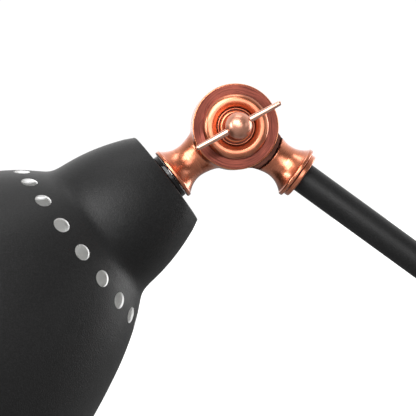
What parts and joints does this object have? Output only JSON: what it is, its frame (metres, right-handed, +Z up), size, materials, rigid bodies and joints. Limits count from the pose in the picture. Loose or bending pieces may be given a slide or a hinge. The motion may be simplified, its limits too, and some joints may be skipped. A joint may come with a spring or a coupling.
{
  "type": "desk lamp",
  "caption": "Adjustable architect desk lamp: weighted round base, two tubular arms on thumb-screw knuckles, and a bell-shaped shade with vent holes around a screw lampholder.",
  "frame": {"origin": "centre of the underside of the foot pad, on the desk", "axes": "+Z up, +Y from the thumb-screw side to the dome-nut side along every arm hinge, +X from the shade side to the elbow side"},
  "size_m": [0.4033, 0.18, 0.4696],
  "materials": {
    "copper": "satin",
    "dark_copper": "satin",
    "black_coat": "satin",
    "steel": "satin",
    "brass": "satin",
    "iron": "matte",
    "pad": "matte",
    "black_plastic": "satin",
    "ceramic": "gloss",
    "fibre": "matte",
    "lead": "satin",
    "opal_glass": "gloss"
  },
  "bodies": {
    "base": {"base_cover": "black_coat", "base_weight": "iron", "base_pad": "pad", "base_stem": "steel", "base_washer": "steel", "base_nut": "steel", "cord_gland": "black_plastic", "switch_body": "black_plastic", "switch_bezel": "copper", "switch_spring": "steel", "supply_lead": "lead", "stem_lead": "lead", "base_knuckle_rear_half": "copper", "base_knuckle_rear_cover": "copper", "base_knuckle_friction_ring": "fibre", "base_knuckle_dome_nut": "copper", "base_collar": "dark_copper"},
    "switch_button": {"switch_button": "copper"},
    "base_screw": {"base_knuckle_thumb_screw": "copper", "base_knuckle_thumb_bar": "copper"},
    "lower_arm": {"base_knuckle_front_half": "copper", "base_knuckle_front_cover": "copper", "lower_arm_lower_collar": "dark_copper", "lower_arm_tube": "black_coat", "lower_arm_lead": "lead", "elbow_knuckle_rear_half": "copper", "elbow_knuckle_rear_cover": "copper", "elbow_knuckle_friction_ring": "fibre", "elbow_knuckle_dome_nut": "copper", "lower_arm_upper_collar": "dark_copper"},
    "elbow_screw": {"elbow_knuckle_thumb_screw": "copper", "elbow_knuckle_thumb_bar": "copper"},
    "upper_arm": {"elbow_knuckle_front_half": "copper", "elbow_knuckle_front_cover": "copper", "upper_arm_lower_collar": "dark_copper", "upper_arm_tube": "black_coat", "upper_arm_lead": "lead", "head_knuckle_rear_half": "copper", "head_knuckle_rear_cover": "copper", "head_knuckle_friction_ring": "fibre", "head_knuckle_dome_nut": "copper", "upper_arm_upper_collar": "dark_copper"},
    "head_screw": {"head_knuckle_thumb_screw": "copper", "head_knuckle_thumb_bar": "copper"},
    "head": {"head_knuckle_front_half": "copper", "head_knuckle_front_cover": "copper", "shade_collar": "dark_copper", "shade": "black_coat", "shade_locknut": "steel", "shade_nipple": "steel", "holder_cap": "ceramic", "holder_insert": "ceramic", "holder_body": "ceramic", "holder_shell": "brass", "holder_contact": "brass", "bulb_cap": "brass", "bulb_glass": "opal_glass", "head_lead": "lead"}
  },
  "joints": [
    {"name": "base_tilt", "type": "hinge", "parent": "base", "child": "lower_arm", "pos_m": [0, 0, 0.0621], "axis": [0, 1, 0], "range_deg": [-35, 25]},
    {"name": "elbow_bend", "type": "hinge", "parent": "lower_arm", "child": "upper_arm", "pos_m": [0.10988, 0, 0.29774], "axis": [0, -1, 0], "range_deg": [-80, 40]},
    {"name": "head_tilt", "type": "hinge", "parent": "upper_arm", "child": "head", "pos_m": [-0.09912, 0, 0.45239], "axis": [0, 1, 0], "range_deg": [-45, 90]},
    {"name": "base_screw_turn", "type": "hinge", "parent": "base", "child": "base_screw", "pos_m": [0, 0, 0.0621], "axis": [0, -1, 0], "range_deg": [0, 180]},
    {"name": "elbow_screw_turn", "type": "hinge", "parent": "lower_arm", "child": "elbow_screw", "pos_m": [0.10988, 0, 0.29774], "axis": [0, -1, 0], "range_deg": [0, 180]},
    {"name": "head_screw_turn", "type": "hinge", "parent": "upper_arm", "child": "head_screw", "pos_m": [-0.09912, 0, 0.45239], "axis": [0, -1, 0], "range_deg": [0, 180]},
    {"name": "switch_press", "type": "slide", "parent": "base", "child": "switch_button", "axis": [0, 0, -1], "range_m": [0, 0.0025], "stiffness_N_per_m": 400, "springref_m": -0.002, "deforming": ["switch_spring"]}
  ]
}
